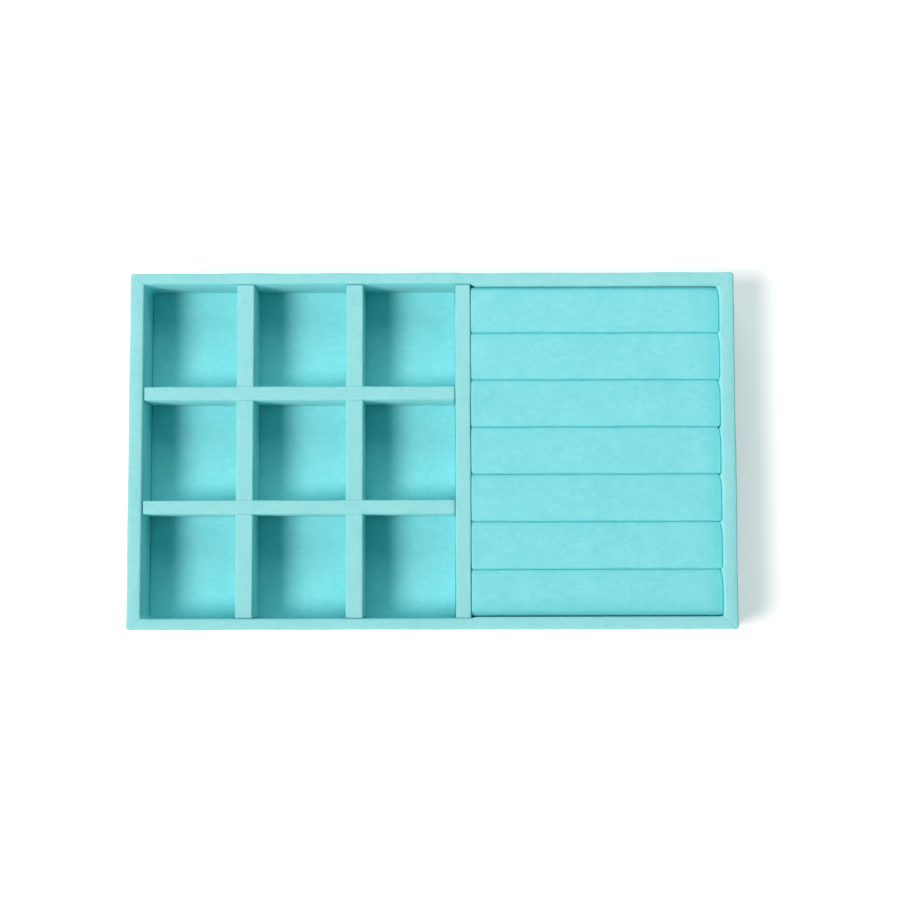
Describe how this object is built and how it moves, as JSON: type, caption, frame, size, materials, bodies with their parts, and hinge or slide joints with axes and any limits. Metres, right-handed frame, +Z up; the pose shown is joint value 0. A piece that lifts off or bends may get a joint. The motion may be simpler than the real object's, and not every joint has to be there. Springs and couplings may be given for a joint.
{
  "type": "jewelry tray",
  "caption": "Shallow open jewelry tray covered in velvet, with a lift-out divider grid that makes square compartments and a lift-out cushion of ring rolls.",
  "frame": {"origin": "under the middle of the tray, on the surface that it stands on", "axes": "+X along the length from the compartments to the ring cushion, +Y to the back, +Z up"},
  "size_m": [0.23, 0.1354, 0.025],
  "materials": {
    "wrap_velvet": "matte pile",
    "pad_velvet": "matte pile",
    "underside_lining": "matte flock",
    "hardboard": "raw",
    "greyboard": "raw",
    "foam": "open cell foam"
  },
  "bodies": {
    "tray": {"base_board": "hardboard", "base_lining": "underside_lining", "back_wall_board": "hardboard", "back_wall_cover": "wrap_velvet", "front_wall_board": "hardboard", "front_wall_cover": "wrap_velvet", "left_wall_board": "hardboard", "left_wall_cover": "wrap_velvet", "right_wall_board": "hardboard", "right_wall_cover": "wrap_velvet", "floor_card": "greyboard", "floor_velvet": "pad_velvet", "partition_board": "hardboard", "partition_cover": "wrap_velvet"},
    "column_dividers": {"left_column_board": "hardboard", "left_column_cover": "wrap_velvet", "right_column_board": "hardboard", "right_column_cover": "wrap_velvet"},
    "back_row_divider": {"back_row_board": "hardboard", "back_row_cover": "wrap_velvet"},
    "front_row_divider": {"front_row_board": "hardboard", "front_row_cover": "wrap_velvet"},
    "ring_insert": {"ring_insert_board": "greyboard", "ring_foam_1": "foam", "ring_cover_1": "pad_velvet", "ring_foam_2": "foam", "ring_cover_2": "pad_velvet", "ring_foam_3": "foam", "ring_cover_3": "pad_velvet", "ring_foam_4": "foam", "ring_cover_4": "pad_velvet", "ring_foam_5": "foam", "ring_cover_5": "pad_velvet", "ring_foam_6": "foam", "ring_cover_6": "pad_velvet", "ring_foam_7": "foam", "ring_cover_7": "pad_velvet"}
  },
  "joints": [
    {"name": "grid_lift", "type": "slide", "parent": "tray", "child": "column_dividers", "axis": [0, 0, 1], "range_m": [0, 0.025]},
    {"name": "back_row_lift", "type": "slide", "parent": "column_dividers", "child": "back_row_divider", "axis": [0, 0, 1], "range_m": [0, 0.025]},
    {"name": "front_row_lift", "type": "slide", "parent": "column_dividers", "child": "front_row_divider", "axis": [0, 0, 1], "range_m": [0, 0.025]},
    {"name": "ring_insert_lift", "type": "slide", "parent": "tray", "child": "ring_insert", "axis": [0, 0, 1], "range_m": [0, 0.025]}
  ]
}
